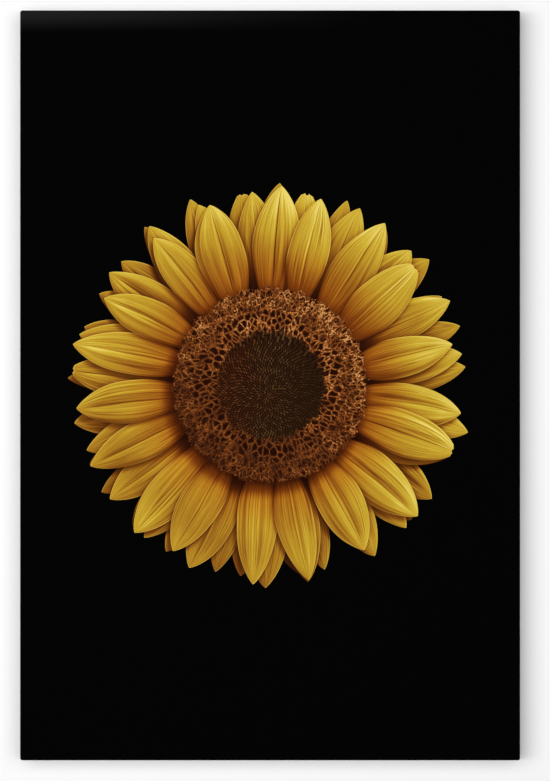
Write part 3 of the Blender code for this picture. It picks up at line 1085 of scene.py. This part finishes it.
THREAD_ENDS = 90
folds = [corner_fold(right, top) for right in (False, True) for top in (False, True)]
threads = loose_threads(THREAD_ENDS)
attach(threads, "root")
for fold in folds:
    cloth_map(fold.data)
    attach(fold, "root")
print(f"{len(folds)} corner folds, {FOLD * 1000:.0f} mm long, and {THREAD_ENDS} loose threads")

# %% [markdown]
# ## Stretcher bars and keys
# The bars are planed pine: pale spring wood with thin darker summer bands that run the length of the bar
# and part round a few knots. The keys are birch, paler and nearly plain. Both are drawn from the place
# on the object, so the bands run through a bar's faces as they do in real wood.


# %% Wood finishes
def wood_finish(name, level, band, pale, dark, late, knotty):
    """Wood with its grain along X on level pieces, and along Z on upright ones."""
    finish = Finish(name, roughness=0.62, specular=0.35)
    x, y, z = finish.place().parts()
    run, side = (x, z) if level else (z, x)
    wander = noise(vector(run * 0.0065, side * 0.022, y * 0.022), 1.0, 2.0)
    knot_way = cells(vector(run * 0.0085, side * 0.011, y * 0.003))
    bulge = knot_way.rises(0.0, 0.20, 2.6 * knotty, 0.0)
    phase = (side + y * 0.55) / band + wander * 9.0 + bulge
    share = phase.math("FRACT")
    summer = share.rises(0.30, 0.90) * share.falls(0.90, 1.0)
    fibre = noise(vector(run * 0.07, side * 2.2, y * 2.2), 1.0, 3.0, 0.6)
    broad = noise(vector(run * 0.004, side * 0.05, y * 0.05), 1.0, 1.0)
    tone = summer * late + (fibre - 0.5) * 0.45 + (broad - 0.5) * 0.5 + 0.12
    wood = tone.ramp((0.0, pale), (1.0, dark))
    knot = knot_way.rises(0.035, 0.055, knotty, 0.0)
    rings = (knot_way * 160.0).math("SINE") * 0.3 + 0.5
    knot_wood = rings.ramp((0.0, (0.105, 0.045, 0.018)), (1.0, (0.26, 0.125, 0.05)))
    finish.set("Base Color", blend(knot, wood, knot_wood))
    finish.set("Roughness", fibre.rises(0.2, 0.8, 0.52, 0.72))
    finish.bump(fibre * 0.6 + summer * 0.4, 0.05 * MM)
    return finish.material


def dress(names, material):
    """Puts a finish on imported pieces, whose meshes stay as they are."""
    for name in names:
        piece = bpy.data.objects[name]
        if not piece.material_slots:
            piece.data.materials.append(material)
        for slot in piece.material_slots:
            slot.link = "OBJECT"
            slot.material = material


PINE = ((0.70, 0.50, 0.285), (0.43, 0.225, 0.085))
BIRCH = ((0.70, 0.555, 0.37), (0.56, 0.39, 0.215))
level_pine = wood_finish("pine_level", True, 4.3, *PINE, 0.75, 1.0)
upright_pine = wood_finish("pine_upright", False, 3.6, *PINE, 0.75, 1.0)
level_birch = wood_finish("birch_level", True, 2.6, *BIRCH, 0.30, 0.0)
upright_birch = wood_finish("birch_upright", False, 2.6, *BIRCH, 0.30, 0.0)
dress(["top_bar", "bottom_bar"], level_pine)
dress(["left_bar", "right_bar"], upright_pine)
keys = nodes_with("_key_")
level_keys = [name for name in keys if name.startswith(("top", "bottom"))]
dress(keys, upright_birch)
dress(level_keys, level_birch)
print(len(keys), "keys dressed")

# %% [markdown]
# ## Metal and pads
# Staples are drawn wire, galvanised: a soft grey shine with a dull bloom. The hanger is pressed from
# zinc-plated sheet, rolled lengthways, and its nails are plated too. The wall pads are black foam rubber
# with a fine grain.


# %% Metal and pad finishes
def zinc_finish(name, brushed, dull):
    finish = Finish(name, roughness=0.3, metallic=1.0)
    x, y, z = finish.place().parts()
    strokes = noise(vector(x * 0.25, y * 3.0, z * 3.0), 1.0, 3.0, 0.6)
    painted_sheen_and_bloom = noise(finish.place(), 0.45, 3.0, 0.6)
    colour = (painted_sheen_and_bloom + dull).ramp((0.3, (0.66, 0.665, 0.67)), (0.8, (0.42, 0.42, 0.41)))
    finish.set("Base Color", colour)
    finish.set("Roughness", painted_sheen_and_bloom.rises(0.3, 0.7, 0.26, 0.46) + strokes * 0.08)
    finish.bump(strokes, brushed * MM)
    return finish.material


def pad_finish():
    finish = Finish("black_foam", roughness=0.9, specular=0.3)
    grain = noise(finish.place(), 2.2, 3.0, 0.6)
    finish.set("Base Color", grain.ramp((0.3, (0.010, 0.010, 0.011)), (0.75, (0.034, 0.034, 0.035))))
    finish.bump(grain, 0.10 * MM)
    return finish.material


staples = nodes_with("_staple_")
dress(staples, zinc_finish("staple_wire", 0.01, 0.10))
dress(["sawtooth_hanger"], zinc_finish("hanger_zinc", 0.02, 0.0))
dress(["hanger_nail_left", "hanger_nail_right"], zinc_finish("nail_zinc", 0.01, 0.05))
pads = nodes_with("wall_pad")
dress(pads, pad_finish())
print(len(staples), "staples,", len(pads), "pads dressed")

# %% [markdown]
# ## Wall, floor and light
# The print hangs on a plain white wall, which is clear from behind so that it doesn't hide the frame. Six
# soft lights in front make up one wide sheet of light. It is strongest in a low strip, reaches further
# to the left, and is weaker above and below. The print is only 22 mm deep, so those reaches alone decide
# how wide and how dark its shadow is. Two more lights show the back. The floor has a light of its own
# and the others leave it out, so that it is evenly pale and sends no light up to the print.


# %% Wall and floor
def stage_plane(name, size, place, turn, finish):
    bm = bmesh.new()
    bmesh.ops.create_grid(bm, x_segments=1, y_segments=1, size=0.5)
    bmesh.ops.scale(bm, vec=(*size, 1.0), verts=bm.verts)
    bmesh.ops.transform(bm, matrix=Matrix.Translation(place) @ turn, verts=bm.verts)
    plane = add_piece(name, bm, finish)
    plane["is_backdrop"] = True
    return plane


def wall_finish():
    """White in front and clear from behind."""
    finish = Finish("white_wall", roughness=0.9, specular=0.0)
    finish.set("Base Color", (WALL_WHITE, WALL_WHITE, WALL_WHITE))
    behind = through(finish.tree, "NewGeometry", "Backfacing")
    white = Wire(finish.tree, finish.shader.outputs[0])
    clear = through(finish.tree, "BsdfTransparent", 0)
    one_sided = through(finish.tree, "MixShader", 0, enumerate((behind, white, clear)))
    plug(one_sided, finish.tree.nodes["Material Output"].inputs["Surface"])
    return finish.material


def floor_finish():
    finish = Finish("pale_floor", roughness=0.8, specular=0.1)
    finish.set("Base Color", (0.80, 0.80, 0.79))
    return finish.material


WALL_WHITE = 0.90
WALL_WIDE, WALL_TALL = 1.8, 2.55
WALL_GAP = 0.5 * MM
FLOOR_Z = -1.35
FLOOR_WIDE = 14
UPRIGHT = Matrix.Rotation(math.radians(90), 4, "X")
LEVEL = Matrix.Identity(4)
wall_middle = (0, WALL_GAP, FLOOR_Z + WALL_TALL / 2)
wall = stage_plane("wall", (WALL_WIDE, WALL_TALL), wall_middle, UPRIGHT, wall_finish())
wall.visible_shadow = False
floor = stage_plane("floor", (FLOOR_WIDE, FLOOR_WIDE), (0, 0, FLOOR_Z), LEVEL, floor_finish())
floor.visible_glossy = False
floor.visible_diffuse = False
print("wall and floor are up")

# %% Lights
LIGHT_AWAY = 2.6
FULL_LIGHT = math.pi * 0.957 / WALL_WHITE  # what makes the wall white, in watts to the square metre
FRONT_LIGHTS = (  # slopes to the left, right, lower and upper edges, and the share of the light
    ("left_strip", -0.98, 0.0, -0.05, 0.05, 0.31),
    ("right_strip", 0.0, 0.72, -0.05, 0.05, 0.13),
    ("left_above", -0.98, 0.0, 0.05, 0.55, 0.22),
    ("right_above", 0.0, 0.7, 0.05, 0.55, 0.14),
    ("left_below", -0.98, 0.0, -0.4, -0.05, 0.12),
    ("right_below", 0.0, 0.7, -0.4, -0.05, 0.08),
)
BACK_LIGHTS = (  # place, size, watts and where it shines
    ("back_key", (-1.3, 2.0, 1.0), (1.4, 1.2), 52, (1.3, -2.0, -1.3)),
    ("back_fill", (1.5, 1.8, 0.0), (1.6, 1.6), 20, (-1.5, -1.8, -0.3)),
)
FLOOR_LIGHT = ("floor_light", (0, 0, 2.5), (40, 40), 5600, (0, 0, -1))


def area_light(name, place, size, power, aim):
    data = bpy.data.lights.new(name, "AREA")
    data.shape = "RECTANGLE"
    data.size, data.size_y = size
    data.energy = power
    light = bpy.data.objects.new(name, data)
    bpy.context.scene.collection.objects.link(light)
    light.location = place
    light.rotation_euler = Vector(aim).to_track_quat("-Z", "Y").to_euler()
    light.visible_camera = False
    light.visible_glossy = False
    return light


def link_floor(light, collection_name, state):
    """Lets the light reach the floor alone (INCLUDE), or all but the floor (EXCLUDE)."""
    collection = bpy.data.collections.get(collection_name)
    if not collection:
        collection = bpy.data.collections.new(collection_name)
        collection.objects.link(floor)
        collection.collection_objects[0].light_linking.link_state = state
    light.light_linking.receiver_collection = collection


def front_light(name, left, right, bottom, top, share):
    """A rectangle that spans these slopes as seen from the print, and gives this share of the light."""
    across, up = np.meshgrid(np.linspace(left, right, 40), np.linspace(bottom, top, 40))
    reach = (1 / (1 + across**2 + up**2) ** 2).mean() * (right - left) * (top - bottom)
    size = ((right - left) * LIGHT_AWAY, (top - bottom) * LIGHT_AWAY)
    power = share * FULL_LIGHT * math.pi * size[0] * size[1] / reach
    x, z = (left + right) / 2 * LIGHT_AWAY, MIDDLE.z + (bottom + top) / 2 * LIGHT_AWAY
    return area_light(name, (x, -LIGHT_AWAY, z), size, power, (0, 1, 0))


front_lights = [front_light(*row) for row in FRONT_LIGHTS]
back_lights = [area_light(*row) for row in BACK_LIGHTS]
for light in back_lights:
    light.visible_glossy = True
for light in front_lights + back_lights:
    link_floor(light, "all_but_floor", "EXCLUDE")
link_floor(area_light(*FLOOR_LIGHT), "floor_only", "INCLUDE")


def add_world():
    """A pale backdrop for the eye, which gives little light itself."""
    world = bpy.data.worlds.new("studio")
    bpy.context.scene.world = world
    world.use_nodes = True
    nodes, links = world.node_tree.nodes, world.node_tree.links
    path = nodes.new("ShaderNodeLightPath")
    strength = nodes.new("ShaderNodeMapRange")
    strength.inputs["To Min"].default_value = 0.03
    strength.inputs["To Max"].default_value = 0.95
    links.new(path.outputs["Is Camera Ray"], strength.inputs["Value"])
    links.new(strength.outputs[0], nodes["Background"].inputs["Strength"])
    nodes["Background"].inputs["Color"].default_value = (1, 1, 1, 1)


add_world()
bpy.context.scene.view_settings.view_transform = "Standard"
print("lights are on")

# %% Size and end
boxes = {"cad": cad_box, "visual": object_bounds()}
{name: [list(corner) for corner in box] for name, box in boxes.items()}
